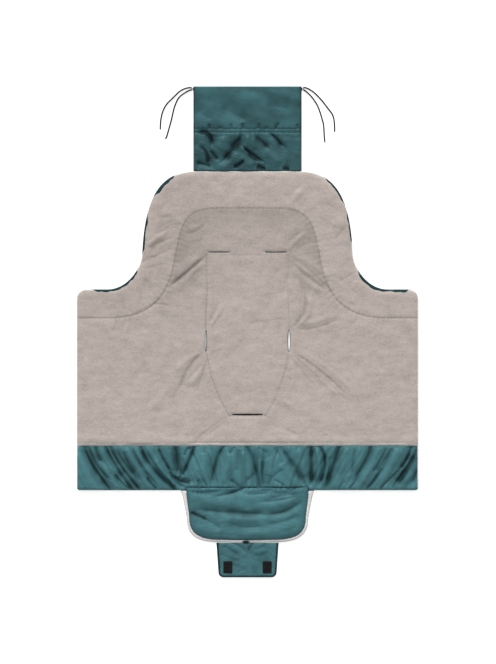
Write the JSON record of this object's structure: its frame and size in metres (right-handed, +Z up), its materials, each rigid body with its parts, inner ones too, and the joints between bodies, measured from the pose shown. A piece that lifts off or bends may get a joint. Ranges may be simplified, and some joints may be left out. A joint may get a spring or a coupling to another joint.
{
  "type": "stroller footmuff",
  "caption": "Quilted fleece-lined stroller footmuff laid open: harness slots, folding wings with a zip, gathered foot band, foot flap with closure tab, and a head panel with ties.",
  "frame": {"origin": "middle of the length and width, on the floor under the outer shell", "axes": "+Y to the head, +Z up out of the fleece, +X to the right seen from above with the head away"},
  "size_m": [0.8892, 1.2778, 0.0142],
  "materials": {
    "nylon": "satin coated woven nylon, dark teal",
    "nylon_dark": "folded nylon edge, dark teal",
    "fleece": "short brushed fleece, taupe",
    "fleece_edge": "turned fleece edge, pale grey",
    "wadding": "lofted polyester wadding, white",
    "binding": "woven binding tape, grey",
    "tape": "woven zip tape, dark teal",
    "teeth": "nylon coil, near black",
    "metal": "enamelled die-cast metal, near black",
    "loop": "loop tape, black",
    "hook": "hook tape, black",
    "cord": "round braided cord, black"
  },
  "bodies": {
    "back": {"back_shell": "nylon", "back_wadding": "wadding", "back_border": "fleece", "back_lining": "fleece", "back_hem": "fleece_edge", "back_foot_band": "nylon", "foot_elastic": "wadding", "shoulder_slot_binding_left": "binding", "shoulder_slot_binding_right": "binding", "waist_slot_binding_left": "binding", "waist_slot_binding_right": "binding", "crotch_slot_binding": "binding"},
    "left_wing": {"left_shell": "nylon", "left_wadding": "wadding", "left_border": "fleece", "left_lining": "fleece", "left_hem": "fleece_edge", "left_foot_band": "nylon", "left_zip_tape": "tape", "left_zip_teeth": "teeth", "left_zip_stop": "metal", "zip_box": "teeth", "left_loop_patch": "loop"},
    "right_wing": {"right_shell": "nylon", "right_wadding": "wadding", "right_border": "fleece", "right_lining": "fleece", "right_hem": "fleece_edge", "right_foot_band": "nylon", "right_zip_tape": "tape", "right_zip_teeth": "teeth", "right_zip_stop": "metal", "zip_pin": "teeth", "right_loop_patch": "loop"},
    "zip_slider": {"zip_slider": "metal"},
    "zip_puller": {"zip_puller": "metal"},
    "foot_flap": {"flap_backing": "fleece_edge", "flap_wadding": "wadding", "flap_shell": "nylon"},
    "closure_tab": {"tab_panel": "nylon", "tab_binding": "nylon_dark", "hook_patch_left": "hook", "hook_patch_right": "hook"},
    "head_panel": {"head_panel": "nylon", "head_facing": "nylon", "head_hem_left": "nylon_dark", "head_hem_right": "nylon_dark", "tie_left_outer": "cord", "tie_left_inner": "cord", "tie_right_outer": "cord", "tie_right_inner": "cord", "tie_root_left": "cord", "tie_root_right": "cord"}
  },
  "joints": [
    {"name": "left_wing_fold", "type": "hinge", "parent": "back", "child": "left_wing", "pos_m": [-0.2226, -0.41275, 0.0145], "axis": [0, 1, 0], "range_deg": [0, 165]},
    {"name": "right_wing_fold", "type": "hinge", "parent": "back", "child": "right_wing", "pos_m": [0.2226, -0.41275, 0.0145], "axis": [0, -1, 0], "range_deg": [0, 165]},
    {"name": "foot_flap_fold", "type": "hinge", "parent": "back", "child": "foot_flap", "pos_m": [0, -0.41275, 0.0145], "axis": [-1, 0, 0], "range_deg": [0, 90]},
    {"name": "closure_tab_fold", "type": "hinge", "parent": "foot_flap", "child": "closure_tab", "pos_m": [0, -0.54925, 0.0113], "axis": [-1, 0, 0], "range_deg": [0, 120]},
    {"name": "head_panel_fold", "type": "hinge", "parent": "back", "child": "head_panel", "pos_m": [0, 0.41795, 0], "axis": [-1, 0, 0], "range_deg": [0, 170]},
    {"name": "zip_slide", "type": "slide", "parent": "left_wing", "child": "zip_slider", "axis": [0, 1, 0], "range_m": [0, 0.45]},
    {"name": "zip_puller_turn", "type": "hinge", "parent": "zip_slider", "child": "zip_puller", "pos_m": [-0.4392, -0.39065, 0.00135], "axis": [-1, 0, 0], "range_deg": [0, 170]}
  ]
}
